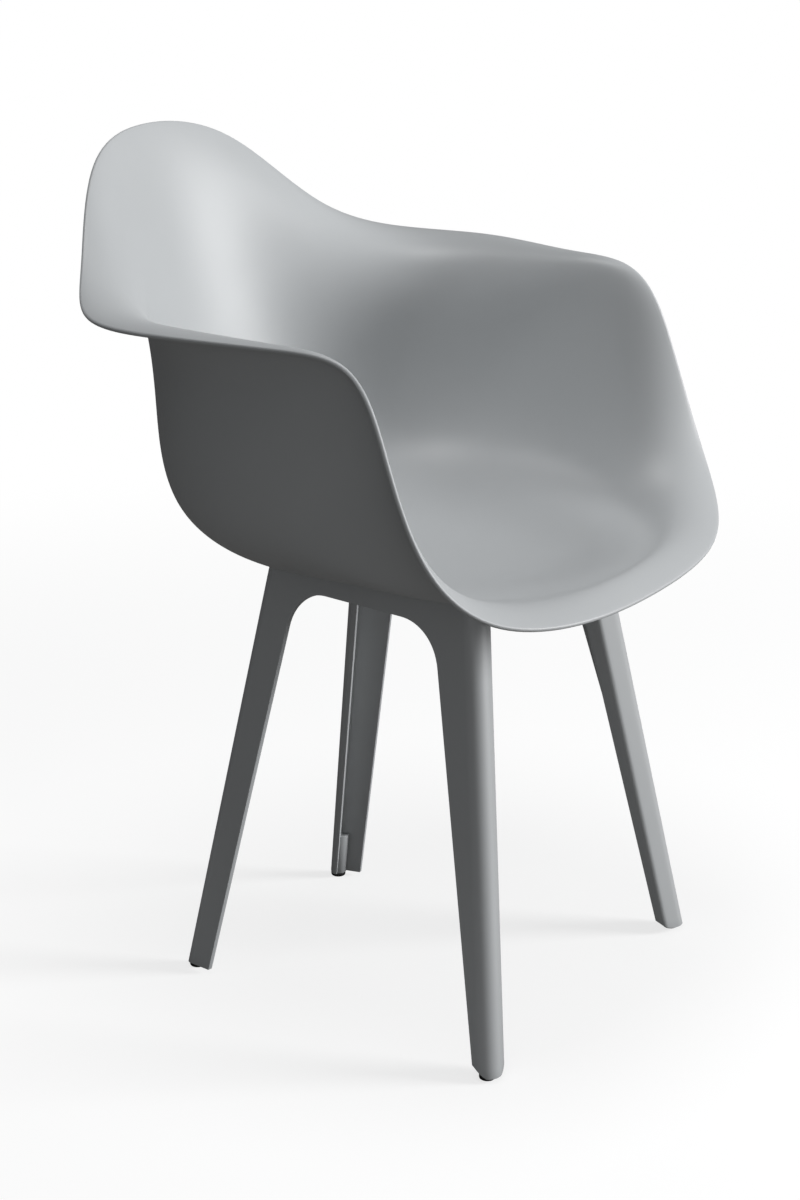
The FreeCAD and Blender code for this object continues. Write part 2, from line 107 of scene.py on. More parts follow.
def windOutward(mesh, outward=None):
    # one winding for all faces; an open sheet is turned to look along outward
    bm = bmesh.new()
    bm.from_mesh(mesh)
    bmesh.ops.recalc_face_normals(bm, faces=bm.faces)
    if outward is not None:
        facing = max(bm.faces, key=lambda face: abs(face.normal.dot(outward)))
        if facing.normal.dot(outward) < 0:
            bmesh.ops.reverse_faces(bm, faces=bm.faces)
    bm.to_mesh(mesh)
    bm.free()
    return mesh


def solidified(thick):
    return ("SOLIDIFY", {"thickness": thick * mm, "offset": -1.0, "use_even_offset": True})


def bevelled(width, segments=3, angle=50):
    return ("BEVEL", {"width": width * mm, "segments": segments, "limit_method": "ANGLE",
                      "angle_limit": math.radians(angle)})


def ringFaces(rings, steps):
    faces = []
    for j in range(rings - 1):
        for k in range(steps):
            a, b = j * steps + k, j * steps + (k + 1) % steps
            faces.append((a, b, b + steps, a + steps))
    return faces


def cappedRings(name, points, rings):
    faces = ringFaces(rings, roundSteps)
    faces.append(tuple(reversed(range(roundSteps))))
    faces.append(tuple(range((rings - 1) * roundSteps, rings * roundSteps)))
    return meshFrom(name, points, faces)


def turnedMesh(name, profile, axis):
    # profile of (radius, height), or of (half width, height, 6) where it is a hexagon, from core to core;
    # axis gives the middle at a height
    points = []
    for radius, height, *sides in profile:
        for k in range(roundSteps):
            angle = 2 * math.pi * k / roundSteps
            reach = radius
            if sides:
                part = 2 * math.pi / sides[0]
                reach = radius / math.cos(angle % part - part / 2)
            points.append(axis(height) + Vector((reach * math.cos(angle), reach * math.sin(angle), 0)) * mm)
    return cappedRings(name, points, len(profile))


def tubeMesh(name, ring):
    # closed ring of (radius, height) turned about the upright axis
    angles = [2 * math.pi * k / roundSteps for k in range(roundSteps)]
    points = [Vector((radius * math.cos(angle), radius * math.sin(angle), height)) * mm
              for radius, height in ring for angle in angles]
    faces = ringFaces(len(ring), roundSteps)
    last = (len(ring) - 1) * roundSteps
    for k in range(roundSteps):
        after = (k + 1) % roundSteps
        faces.append((last + k, last + after, after, k))
    return meshFrom(name, points, faces)


def upright(height):
    return Vector((0, 0, height * mm))


def circle(centre, radius, steps=32):
    angles = [2 * math.pi * k / steps for k in range(steps)]
    return [Vector((centre.x + radius * math.cos(a), centre.y + radius * math.sin(a), 0)) for a in angles]


def plateMesh(name, loops, low, high):
    # level plate between two heights; the first loop is its outline and the others are holes
    points, faces = [], []
    corners = [p for loop in loops for p in loop]
    count = len(corners)
    for level in (low, high):
        points += [Vector((p.x, p.y, level)) * mm for p in corners]
    for a, b, c in tessellate_polygon(loops):
        faces += [(a, b, c), (c + count, b + count, a + count)]
    start = 0
    for loop in loops:
        for k in range(len(loop)):
            a, b = start + k, start + (k + 1) % len(loop)
            faces.append((a, b, b + count, a + count))
        start += len(loop)
    return windOutward(meshFrom(name, points, faces, False))


def roundCorner(before, corner, after, radius, steps):
    # points of the arc that rounds a corner between two straight runs, both ends included
    back, ahead = (before - corner).normalized(), (after - corner).normalized()
    half = back.angle(ahead) / 2
    centre = corner + (back + ahead).normalized() * radius / math.sin(half)
    first, last = (corner + way * radius / math.tan(half) - centre for way in (back, ahead))
    full = first.angle(last)
    points = []
    for k in range(steps + 1):
        firstShare, lastShare = math.sin(full * (1 - k / steps)), math.sin(full * k / steps)
        points.append(centre + (first * firstShare + last * lastShare) / math.sin(full))
    return points


def copiesAt(name, unit, spots, material):
    # Geometry Nodes: one turned piece at each seat bolt
    tree = bpy.data.node_groups.new(name + "Copies", "GeometryNodeTree")
    face = tree.interface
    face.new_socket("Spots", in_out="INPUT", socket_type="NodeSocketGeometry")
    pieceInput = face.new_socket("Piece", in_out="INPUT", socket_type="NodeSocketObject")
    lookInput = face.new_socket("Look", in_out="INPUT", socket_type="NodeSocketMaterial")
    face.new_socket("Geometry", in_out="OUTPUT", socket_type="NodeSocketGeometry")
    start, end = tree.nodes.new("NodeGroupInput"), tree.nodes.new("NodeGroupOutput")
    piece = tree.nodes.new("GeometryNodeObjectInfo")
    spread = tree.nodes.new("GeometryNodeInstanceOnPoints")
    real = tree.nodes.new("GeometryNodeRealizeInstances")
    paint = tree.nodes.new("GeometryNodeSetMaterial")
    for source, target in (
            (start.outputs["Spots"], spread.inputs["Points"]),
            (start.outputs["Piece"], piece.inputs["Object"]),
            (piece.outputs["Geometry"], spread.inputs["Instance"]),
            (spread.outputs["Instances"], real.inputs["Geometry"]),
            (real.outputs["Geometry"], paint.inputs["Geometry"]),
            (start.outputs["Look"], paint.inputs["Material"]),
            (paint.outputs["Geometry"], end.inputs["Geometry"])):
        tree.links.new(source, target)
    single = placed(name + "Single", unit)
    carrier = placed(name + "Carrier", meshFrom(name + "Spots", spots, []))
    modifier = carrier.modifiers.new("copies", "NODES")
    modifier.node_group = tree
    modifier[pieceInput.identifier] = single
    modifier[lookInput.identifier] = material
    mesh = evaluatedMesh(name, carrier)
    bpy.data.objects.remove(single)
    return mesh


# Shader maths: a wrapped socket adds Math nodes by itself

class Wire:
    def __init__(self, tree, socket):
        self.tree, self.socket = tree, socket

    def maths(self, operation, first, second):
        return Shading(self.tree).node("ShaderNodeMath", {"operation": operation}, {0: first, 1: second})

    def __add__(self, other):
        return self.maths("ADD", self, other)

    def __mul__(self, other):
        return self.maths("MULTIPLY", self, other)


class Shading:
    def __init__(self, tree):
        self.tree = tree

    def node(self, kind, settings=None, values=None, output=0):
        made = self.tree.nodes.new(kind)
        for key, value in (settings or {}).items():
            setattr(made, key, value)
        for key, value in (values or {}).items():
            if isinstance(value, Wire):
                self.tree.links.new(value.socket, made.inputs[key])
            else:
                made.inputs[key].default_value = value
        return Wire(self.tree, made.outputs[output]) if made.outputs else None


def newMaterial(name):
    material = bpy.data.materials.new(name)
    material.use_nodes = True
    material.node_tree.nodes.clear()
    return material, Shading(material.node_tree)


def finishMaterial(make, surface):
    make.node("ShaderNodeOutputMaterial", {}, {"Surface": surface})


# Materials

mouldedPlastic = {
    "colour": (0.475, 0.490, 0.500, 1), "shade": (0.440, 0.455, 0.465, 1), "roughness": 0.46, "ior": 1.49,
    "cloudScale": 9.0, "cloudDetail": 3.0, "cloudShare": 0.7, "cloudGloss": 0.10,
    "flowDepth": 0.10 * mm, "flowStrength": 0.35,
    "grainSize": 0.45 * mm, "grainSmoothness": 0.6, "grainShare": 0.7, "grainGloss": 0.06,
    "grainDepth": 0.022 * mm, "grainStrength": 0.6,
    "fleckScale": 0.45, "fleckDetail": 2.0, "fleckShare": 0.3,
}
glidePlastic = {"colour": (0.018, 0.018, 0.019, 1), "roughness": 0.38, "scale": 1500.0,
                "depth": 0.012 * mm, "metallic": 0.0}
powderCoat = {"colour": (0.022, 0.022, 0.023, 1), "roughness": 0.5, "scale": 700.0,
              "depth": 0.05 * mm, "metallic": 0.0}
zincSteel = {"colour": (0.60, 0.61, 0.62, 1), "roughness": 0.30, "scale": 1200.0,
             "depth": 0.006 * mm, "metallic": 1.0}
turnedBrass = {"colour": (0.72, 0.55, 0.27, 1), "roughness": 0.32, "scale": 1500.0,
               "depth": 0.005 * mm, "metallic": 1.0}
smallGrain = {"detail": 3.0, "broadScale": 0.05, "broadDetail": 2.0, "darken": 0.8, "gloss": 0.12,
              "strength": 0.6}


def plasticMaterial(name, look):
    # a moulding with soft clouds in its tone, a slight flow in its face and a fine grain
    material, make = newMaterial(name)
    place = make.node("ShaderNodeTexCoord", output="Object")
    cloud = make.node("ShaderNodeTexNoise", {},
                      {"Vector": place, "Scale": look["cloudScale"], "Detail": look["cloudDetail"]})
    grainScale, fleckScale = 1 / look["grainSize"], look["fleckScale"] / look["grainSize"]
    grain = make.node("ShaderNodeTexVoronoi", {"feature": "SMOOTH_F1"},
                      {"Vector": place, "Scale": grainScale, "Smoothness": look["grainSmoothness"]})
    fleck = make.node("ShaderNodeTexNoise", {},
                      {"Vector": place, "Scale": fleckScale, "Detail": look["fleckDetail"]})
    mix = cloud * look["cloudShare"] + fleck * look["fleckShare"]
    tone = make.node("ShaderNodeMix", {"data_type": "RGBA"},
                     {"Factor": mix, "A": look["shade"], "B": look["colour"]}, output="Result")
    calm = look["roughness"] - (look["cloudGloss"] + look["grainGloss"]) / 2
    gloss = cloud * look["cloudGloss"] + grain * look["grainGloss"] + calm
    flow = make.node("ShaderNodeBump", {},
                     {"Strength": look["flowStrength"], "Distance": look["flowDepth"], "Height": cloud})
    relief = grain * look["grainShare"] + fleck * look["fleckShare"]
    bump = make.node("ShaderNodeBump", {},
                     {"Strength": look["grainStrength"], "Distance": look["grainDepth"], "Height": relief,
                      "Normal": flow})
    finishMaterial(make, make.node("ShaderNodeBsdfPrincipled", {}, {
        "Base Color": tone, "Roughness": gloss, "Normal": bump, "IOR": look["ior"]}))
    return material


def simpleMaterial(name, look):
    material, make = newMaterial(name)
    place = make.node("ShaderNodeTexCoord", output="Object")
    noise = make.node("ShaderNodeTexNoise", {},
                      {"Vector": place, "Scale": look["scale"], "Detail": smallGrain["detail"]})
    broadScale = look["scale"] * smallGrain["broadScale"]
    broad = make.node("ShaderNodeTexNoise", {},
                      {"Vector": place, "Scale": broadScale, "Detail": smallGrain["broadDetail"]})
    dark = tuple(c * smallGrain["darken"] for c in look["colour"][:3]) + (1,)
    tone = make.node("ShaderNodeMix", {"data_type": "RGBA"},
                     {"Factor": broad, "A": dark, "B": look["colour"]}, output="Result")
    gloss = noise * smallGrain["gloss"] + (look["roughness"] - smallGrain["gloss"] / 2)
    bump = make.node("ShaderNodeBump", {},
                     {"Strength": smallGrain["strength"], "Distance": look["depth"], "Height": noise})
    finishMaterial(make, make.node("ShaderNodeBsdfPrincipled", {}, {
        "Base Color": tone, "Roughness": gloss, "Normal": bump, "Metallic": look["metallic"]}))
    return material


shellMaterial = plasticMaterial("shellPlastic", mouldedPlastic)
frameMaterial = plasticMaterial("framePlastic", mouldedPlastic)
glideMaterial = simpleMaterial("glidePlastic", glidePlastic)
barMaterial = simpleMaterial("barPowderCoat", powderCoat)
boltMaterial = simpleMaterial("boltZinc", zincSteel)
insertMaterial = simpleMaterial("insertBrass", turnedBrass)
print("materials made")

# Seat shell: a bicubic surface over the same control rings as the solid

shell = {
    "width": 604.5, "depth": 574.0, "backHeight": 824.0, "seatHeight": 429.0,
    "wall": 4.5, "navel": 6.0, "middle": 64.0,
    "seatWidth": 351.7, "seatFront": 213.0, "seatBack": 142.6, "seatRise": 17.1,
    "bowlWidth": 488.4, "bowlFront": 243.0, "bowlBack": 203.9, "bowlClimb": 0.164,
    "sideWidth": 514.7, "sideFront": 261.5, "sideBack": 213.3, "sideClimb": 0.591,
    "lipRise": 12.5, "seatLip": 0.7, "backFollow": 0.40, "backNarrow": 0.25,
    "middlePower": 2.0, "ringPower": 2.15, "stepsAround": 12, "stepsUp": 18,
    "rimRound": 0.45, "rimSteps": 4, "rimAngle": 60, "padRadius": 13.0, "padEdge": 0.8, "padSink": 0.4,
}
# the ring inside the seat ring, as shares of the seat's width, front, back and rise
cushion = {"width": 1 / 3, "front": 0.8, "back": 0.67, "rise": 1 / 15, "frontRise": 1 / 8, "power": 2.1}
# plan direction in degrees; then the rim, and from it the rolled edge's control points, as shares of half
# the width, half the depth and the climb from the seat
stations = {
    "frontMiddle": (-90, (0.000, -1.007, 0.000), (0.000, 0.091, 0.035)),
    "frontQuarter": (-66, (0.452, -0.986, 0.006), (-0.026, 0.091, 0.035)),
    "frontCorner": (-44, (0.803, -0.841, 0.039), (-0.073, 0.084, 0.038)),
    "armFoot": (-28, (0.941, -0.675, 0.184), (-0.099, 0.070, 0.030)),
    "armFront": (-14, (0.944, -0.557, 0.441), (-0.086, 0.084, 0.010)),
    "armCorner": (0, (0.925, -0.460, 0.639), (-0.066, 0.084, 0.018)),
    "armRest": (14, (0.908, -0.180, 0.637), (-0.086, 0.014, 0.023)),
    "elbow": (30, (1.028, 0.208, 0.654), (-0.219, -0.022, 0.035)),
    "rearCorner": (47, (0.970, 0.550, 0.648), (-0.235, -0.197, 0.030)),
    "backShoulder": (62, (0.672, 0.751, 0.711), (-0.121, -0.122, 0.000)),
    "backCorner": (76, (0.400, 0.948, 0.972), (-0.060, -0.070, -0.061)),
    "backMiddle": (90, (0.000, 1.028, 1.014), (0.000, -0.056, -0.086)),
}


def flatRing(halfWidth, front, back, rise, frontRise, power):
    # ring of control points round the seat, with its own rise at the front
    ring = []
    for angle, _, _ in stations.values():
        c, s = math.cos(math.radians(angle)), math.sin(math.radians(angle))
        reach = (abs(c) ** power + abs(s) ** power) ** (-1 / power)
        level = shell["seatHeight"] + rise + (frontRise - rise) * max(0.0, -s) ** 2
        ring.append(Vector((halfWidth * c * reach, (front if s < 0 else back) * s * reach, level)))
    return ring


def controlRings():
    scale = Vector((shell["width"] / 2, shell["depth"] / 2, shell["backHeight"] - shell["seatHeight"]))
    seatMiddle = Vector((0, 0, shell["seatHeight"]))
    rim = [seatMiddle + Vector(edge) * scale for _, edge, _ in stations.values()]
    roll = [point + Vector(reach) * scale for point, (_, _, reach) in zip(rim, stations.values())]
    rise, lip, navel, middle = shell["seatRise"], shell["lipRise"], shell["navel"], shell["middle"]
    flatPower, power = shell["middlePower"], shell["ringPower"]
    rings = [
        flatRing(navel, navel, navel, 0, 0, flatPower), flatRing(middle, middle, middle, 0, 0, flatPower),
        flatRing(shell["seatWidth"] * cushion["width"], shell["seatFront"] * cushion["front"],
                 shell["seatBack"] * cushion["back"], rise * cushion["rise"], rise * cushion["frontRise"],
                 cushion["power"]),
    ]
    for part, frontRise in (("seat", lip * shell["seatLip"]), ("bowl", lip), ("side", lip)):
        halfWidth, front, back = shell[part + "Width"] / 2, shell[part + "Front"], shell[part + "Back"]
        rings.append(flatRing(halfWidth, front, back, rise, frontRise, power))
    corner, bowl, side = rings[3:]
    names = list(stations)
    for i in range(names.index("armFoot"), len(names)):
        climb = roll[i].z - corner[i].z
        bowl[i].z = corner[i].z + shell["bowlClimb"] * climb
        side[i].z = corner[i].z + shell["sideClimb"] * climb
    for i in range(names.index("backShoulder"), len(names)):
        side[i].y += shell["backFollow"] * (roll[i].y - side[i].y)
        side[i].x += shell["backNarrow"] * (roll[i].x - side[i].x)
    rings += [roll, rim]
    return [ring + [Vector((-p.x, p.y, p.z)) for p in reversed(ring[1:-1])] for ring in rings]


def splineShares(knots, place):
    # cubic B-spline shares of the control points at a place on the knot line
    spans = [i for i in range(len(knots) - 1) if knots[i] <= place and knots[i] < knots[i + 1]]
    span = spans[-1]
    shares = {span: 1.0}
    for degree in (1, 2, 3):
        wider = {}
        for i in range(span - degree, span + 1):
            value = 0.0
            if i in shares and knots[i + degree] > knots[i]:
                value += (place - knots[i]) / (knots[i + degree] - knots[i]) * shares[i]
            if i + 1 in shares and knots[i + degree + 1] > knots[i + 1]:
                end = knots[i + degree + 1]
                value += (end - place) / (end - knots[i + 1]) * shares[i + 1]
            wider[i] = value
        shares = wider
    return shares


def surfaceGrid(rings):
    # points of the surface: open cubic from ring to ring, periodic cubic along each ring
    count, spans = len(rings[0]), len(rings) - 3
    acrossKnots = [0.0] * 4 + [float(k) for k in range(1, spans)] + [float(spans)] * 4
    rows = []
    for j in range(spans * shell["stepsUp"] + 1):
        up = splineShares(acrossKnots, j / shell["stepsUp"])
        ring = [sum((rings[r][i] * w for r, w in up.items() if w), Vector()) for i in range(count)]
        row = []
        for k in range(count * shell["stepsAround"]):
            i, t = divmod(k, shell["stepsAround"])
            t /= shell["stepsAround"]
            w = ((1 - t) ** 3 / 6, (3 * t ** 3 - 6 * t ** 2 + 4) / 6,
                 (-3 * t ** 3 + 3 * t ** 2 + 3 * t + 1) / 6, t ** 3 / 6)
            row.append(sum((ring[(i + n - 1) % count] * w[n] for n in range(4)), Vector()) * mm)
        rows.append(row)
    return rows


def sheetMesh(name, rows):
    # rings joined to a sheet, with a fan that closes the first ring
    across = len(rows[0])
    points = [p for row in rows for p in row] + [sum(rows[0], Vector()) / across]
    faces = ringFaces(len(rows), across)
    faces += [(len(points) - 1, (k + 1) % across, k) for k in range(across)]
    return meshFrom(name, points, faces)


shellSheet = sheetMesh("shellSheet", surfaceGrid(controlRings()))
rimRound = bevelled(shell["wall"] * shell["rimRound"], shell["rimSteps"], shell["rimAngle"])
shellWall = finishMesh("shellWall", shellSheet, [solidified(shell["wall"]), rimRound])
underside = BVHTree.FromPolygons([v.co for v in shellWall.vertices],
                                 [tuple(face.vertices) for face in shellWall.polygons])

# Side frame: the outer skin of the two legs and of the rail, thickened inward, in the frame's own
# axes (outward, backward, up); pairs are values at the foot and at the top

sideFrame = {
    "outX": 212.1, "outY": -218.6, "turn": 10.4, "tilt": 8.63, "wall": 5.0, "top": 440.0,
    "railBottom": 407.0, "webStart": 300.0, "webReach": 4, "shelfThick": 4.0, "shelfReach": 48.0,
    "shelfCorner": 6.0, "shelfEdge": 0.4, "gap": 0.5, "rayStart": 0.86, "edgeRound": 0.8, "blend": 6.5,
    "sweep": 30.0, "footSlope": 31.0, "footStart": 8.0, "footReach": 150, "boltReach": 27.0, "weld": 0.02,
}
# nose and edge are a leg's outer lines along the frame's depth, and toward is the way from nose to edge;
# face and lip are the lengths of its turned-in side
legs = {
    "front": {"toward": 1, "nose": (0.0, 80.8), "edge": (5.2, 118.0), "radius": (14.0, 14.2),
              "face": (17.4, 20.8), "lip": (9.8, 17.5), "arch": 51.0, "inset": 13.8, "bolt": 94.0},
    "rear": {"toward": -1, "nose": (378.6, 311.2), "edge": (353.2, 278.8), "radius": (7.0, 15.0),
             "face": (10.0, 16.0), "lip": (4.8, 6.9), "arch": 46.0, "inset": 9.4, "bolt": 289.0},
}
skinSteps = {"lip": 3, "blend": 6, "face": 5, "nose": 16, "side": 8, "low": 40, "high": 12, "arch": 16,
             "rail": 20, "shelf": 8, "foot": 6}
# sole, crown and groove are (inset, height) steps of a turned edge
glideSize = {"radius": 7.8, "height": 4.5, "edge": 0.3, "stemRadius": 3.7, "stemLength": 12.0,
             "stemTip": 2.0, "tipShare": 0.7, "sole": ((2.2, 0.0), (1.0, 0.25), (0.3, 0.9), (0.0, 1.9)),
             "bossRadius": 8.0, "bossHeight": 52.0, "bossEdge": 0.6, "boreEdge": 0.4}
boltSize = {"radius": 3.0, "length": 16.0, "tipEdge": 0.5, "head": 5.5, "headThick": 4.0, "headEdge": 0.2,
            "crown": ((1.6, 0.0), (0.7, 0.35), (0.15, 1.0), (0.0, 1.7)), "socket": 2.3, "socketDepth": 2.4,
            "socketSides": 6}
insertSize = {"radius": 4.6, "length": 8.0, "edge": 0.3,
              "groove": ((0.0, 2.4), (0.5, 2.8), (0.5, 3.6), (0.0, 4.0))}

frameTurn, frameTilt = math.radians(sideFrame["turn"]), math.radians(sideFrame["tilt"])
mountLevel = sideFrame["railBottom"] + sideFrame["shelfThick"]
boltHole = boltSize["radius"] + fitGap


def inRoom(point):
    # from the left frame's own axes to the shared frame, in millimetres
    c, s = math.cos(frameTurn), math.sin(frameTurn)
    return Vector((sideFrame["outX"] + point.x * c - point.y * s,
                   sideFrame["outY"] + point.x * s + point.y * c, point.z))


def lean(height):
    return -height * math.tan(frameTilt)


def along(pair, height):
    return pair[0] + (pair[1] - pair[0]) * height / sideFrame["top"]


def between(first, last, count):
    return [first.lerp(last, k / count) for k in range(1, count)]


def skinOutline(leg, height):
    # outer skin of a leg at a height, from the return lip round the nose to the free side edge
    look = legs[leg]
    radius, face, lip = (along(look[key], height) for key in ("radius", "face", "lip"))
    nose, edge = along(look["nose"], height), along(look["edge"], height)
    sweep = math.radians(sideFrame["sweep"])
    c, s = math.cos(sweep), math.sin(sweep)
    corner = Vector((radius * s + face * c, -radius * c + face * s, 0))
    lipEnd, faceStart = corner + Vector((0, lip, 0)), Vector((radius * s, -radius * c, 0))
    blend = roundCorner(lipEnd, corner, faceStart, sideFrame["blend"], skinSteps["blend"])
    outline = [lipEnd] + between(lipEnd, blend[0], skinSteps["lip"]) + blend
    outline += between(blend[-1], faceStart, skinSteps["face"])
    for k in range(skinSteps["nose"] + 1):
        angle = 1.5 * math.pi + sweep - (math.pi / 2 + sweep) * k / skinSteps["nose"]
        outline.append(Vector((radius * math.cos(angle), radius * math.sin(angle), 0)))
    side = Vector((-radius, abs(edge - nose), 0))
    outline += between(outline[-1], side, skinSteps["side"]) + [side]
    return [Vector((lean(height) - radius - p.x, nose + look["toward"] * p.y, height)) for p in outline]


def reachShell(low, high):
    # point just under the shell on the line from low to high, in the frame's own axes
    start = low.lerp(high, sideFrame["rayStart"])
    place, way = inRoom(start) * mm, (inRoom(high) - inRoom(low)).normalized()
    distance = underside.ray_cast(place, way)[3]
    return start + (high - low).normalized() * (distance / mm - sideFrame["gap"] / way.z)


def slantEnd(point):
    # height of the front foot's slanting end over a point of its plan
    run = point.y - legs["front"]["nose"][0] + sideFrame["footStart"]
    return glideSize["height"] + max(0.0, run) * math.tan(math.radians(sideFrame["footSlope"]))


def footLevel(leg, low, high):
    level = glideSize["height"]
    if leg == "front":
        for _ in range(skinSteps["foot"]):
            level = slantEnd(low.lerp(high, level / sideFrame["top"]))
    return level


def archRun():
    # the arch's outline in the leaning outer face, with its height measured along the lean
    stretch = 1 / math.cos(frameTilt)
    start, rail = sideFrame["webStart"], sideFrame["railBottom"]
    spots = [Vector((along(legs[leg]["edge"], h), h * stretch))
             for leg, h in (("front", start), ("front", rail), ("rear", rail), ("rear", start))]
    front = roundCorner(spots[0], spots[1], spots[2], legs["front"]["arch"], skinSteps["arch"])
    rear = roundCorner(spots[1], spots[2], spots[3], legs["rear"]["arch"], skinSteps["arch"])
    run = front + between(front[-1], rear[0], skinSteps["rail"]) + rear
    return [Vector((lean(p.y / stretch), p.x, p.y / stretch)) for p in run]


def gridFrom(name, columns):
    # columns of the left frame's points, low end first
    count = len(columns[0])
    points = [inRoom(p) * mm for column in columns for p in column]
    faces = []
    for k in range(len(columns) - 1):
        for j in range(count - 1):
            a = k * count + j
            faces.append((a, a + 1, a + count + 1, a + count))
    return meshFrom(name, points, faces)


def legSkin(leg, tangent):
    # columns from the foot to the shell, with a row of points at the arch's tangent height
    columns = []
    for low, high in zip(skinOutline(leg, 0.0), skinOutline(leg, sideFrame["top"])):
        foot = low.lerp(high, footLevel(leg, low, high) / sideFrame["top"])
        middle = low.lerp(high, tangent / sideFrame["top"])
        top = reachShell(low, high)
        columns.append([foot] + between(foot, middle, skinSteps["low"]) + [middle]
                       + between(middle, top, skinSteps["high"]) + [top])
    return gridFrom(leg + "LegSkin", columns)


def webSkin(run):
    # columns from the arch to the shell, between the side edges of the two legs
    frontEdge, rearEdge = (along(legs[leg]["edge"], sideFrame["top"]) for leg in ("front", "rear"))
    columns = []
    for point in run:
        share = (point.y - run[0].y) / (run[-1].y - run[0].y)
        spread = frontEdge + (rearEdge - frontEdge) * share
        high = Vector((lean(sideFrame["top"]), spread, sideFrame["top"]))
        top = reachShell(point + (point - high) * sideFrame["webReach"], high)
        columns.append([point] + between(point, top, skinSteps["high"]) + [top])
    return gridFrom("webSkin", columns)


def bossMesh(leg):
    # post behind the foot, bored for the glide's stem
    look, edge, mouth = legs[leg], glideSize["bossEdge"], glideSize["boreEdge"]
    inner, outer = glideSize["stemRadius"] + fitGap, glideSize["bossRadius"]
    base, top = glideSize["height"], glideSize["bossHeight"]
    depth = base + glideSize["stemLength"] + fitGap

    def axis(height):
        shift = look["toward"] * (look["inset"] - along(look["radius"], height))
        spot = Vector((lean(height) - look["inset"], along(look["nose"], height) + shift, height))
        return inRoom(spot) * mm

    profile = [(coreRadius, depth), (inner, depth), (inner, base + mouth), (inner + mouth, base),
               (outer - edge, base), (outer, base + edge), (outer, top - edge), (outer - edge, top),
               (coreRadius, top)]
    return turnedMesh(leg + "Boss", profile, axis), axis(0.0)


def boltSpot(leg):
    return inRoom(Vector((lean(mountLevel) - sideFrame["boltReach"], legs[leg]["bolt"], 0)))


def shelfMesh():
    # level shelf inside the rail, which the seat bolts clamp
    outside, inside = lean(mountLevel) - sideFrame["wall"] / 2, lean(mountLevel) - sideFrame["shelfReach"]
    front, rear = (along(legs[leg]["nose"], mountLevel) for leg in ("front", "rear"))
    plan = ((outside, front), (outside, rear), (inside, rear), (inside, front))
    spots = [Vector((x, y, 0)) for x, y in plan]
    outline = spots[:2]
    for k in (2, 3):
        outline += roundCorner(spots[k - 1], spots[k], spots[(k + 1) % 4], sideFrame["shelfCorner"],
                               skinSteps["shelf"])
    loops = [[inRoom(p) for p in outline]] + [circle(boltSpot(leg), boltHole) for leg in legs]
    plate = plateMesh("shelf", loops, sideFrame["railBottom"], mountLevel)
    return finishMesh("shelf", plate, [bevelled(sideFrame["shelfEdge"], 2)])


def frameSkin():
    run = archRun()
    skins = [legSkin("front", run[0].z), webSkin(run), legSkin("rear", run[-1].z)]
    outward = Vector((math.cos(frameTurn), math.sin(frameTurn), 0))
    sheet = windOutward(joined("frameSkin", skins, sideFrame["weld"] * mm), outward)
    wall = finishMesh("frameWall", sheet, [solidified(sideFrame["wall"])])
    # the wall's inner side dips below the foot's end, so it is cut off at that plane
    for vertex in wall.vertices:
        own = Vector((vertex.co.x / mm - sideFrame["outX"], vertex.co.y / mm - sideFrame["outY"], 0))
        ownY = -own.x * math.sin(frameTurn) + own.y * math.cos(frameTurn)
        inFront = ownY < sideFrame["footReach"]
        level = slantEnd(Vector((0, ownY, 0))) if inFront else glideSize["height"]
        vertex.co.z = max(vertex.co.z, level * mm)
    return finishMesh("frameWall", wall, [bevelled(sideFrame["edgeRound"])])


bosses = {leg: bossMesh(leg) for leg in legs}
leftFrame = joined("leftFrame", [frameSkin(), shelfMesh()] + [mesh for mesh, _ in bosses.values()])
rightFrame = mirroredMesh("rightFrame", leftFrame)
newPiece("sideFrameLeft", leftFrame, frameMaterial, ["side_frame_left"])
newPiece("sideFrameRight", rightFrame, frameMaterial, ["side_frame_right"])
print("side frames made", len(leftFrame.polygons))


def padMesh(spot):
    # round pad from the shelf into the shell's wall, bored for the insert
    outer, edge, bore = shell["padRadius"], shell["padEdge"], insertSize["radius"] + fitGap
    depth = mountLevel + insertSize["length"]
    profile = [(coreRadius, depth), (bore, depth), (bore, mountLevel), (outer - edge, mountLevel),
               (outer, mountLevel + edge), (outer, None), (coreRadius, None)]
    points = []
    for radius, height in profile:
        for p in circle(spot, radius, roundSteps):
            level = height
            if height is None:
                place = Vector((p.x, p.y, mountLevel)) * mm
                reach = underside.ray_cast(place, Vector((0, 0, 1)))[3] / mm
                level = mountLevel + reach + shell["wall"] * shell["padSink"]
            points.append(Vector((p.x, p.y, level)) * mm)
    return cappedRings("pad", points, len(profile))


boltPairs = {leg: [Vector((side * boltSpot(leg).x, boltSpot(leg).y, 0)) for side in (1, -1)] for leg in legs}
boltSpots = [spot for pair in boltPairs.values() for spot in pair]
shellMesh = joined("seatShell", [shellWall] + [padMesh(spot) for spot in boltSpots])
newPiece("seatShell", shellMesh, shellMaterial, ["seat_shell"])
print("shell made", len(shellMesh.polygons))

# Glides, cross bars, bolts, washers and inserts

radius, height, stem, edge = (glideSize[key] for key in ("radius", "height", "stemRadius", "edge"))
tip = height + glideSize["stemLength"]
glideProfile = [(coreRadius, 0.0)] + [(radius - inset, level) for inset, level in glideSize["sole"]]
glideProfile += [(radius, height - edge), (radius - edge, height), (stem, height),
                 (stem, tip - glideSize["stemTip"]), (stem * glideSize["tipShare"], tip), (coreRadius, tip)]
for leg, (_, foot) in bosses.items():
    for side, hand in ((1, "left"), (-1, "right")):
        spot = Vector((side * foot.x, foot.y, 0))
        mesh = turnedMesh("glide", glideProfile, lambda height: spot + upright(height))
        newPiece(f"glide{leg.title()}{hand.title()}", mesh, glideMaterial, [f"glide_{leg}_{hand}"])

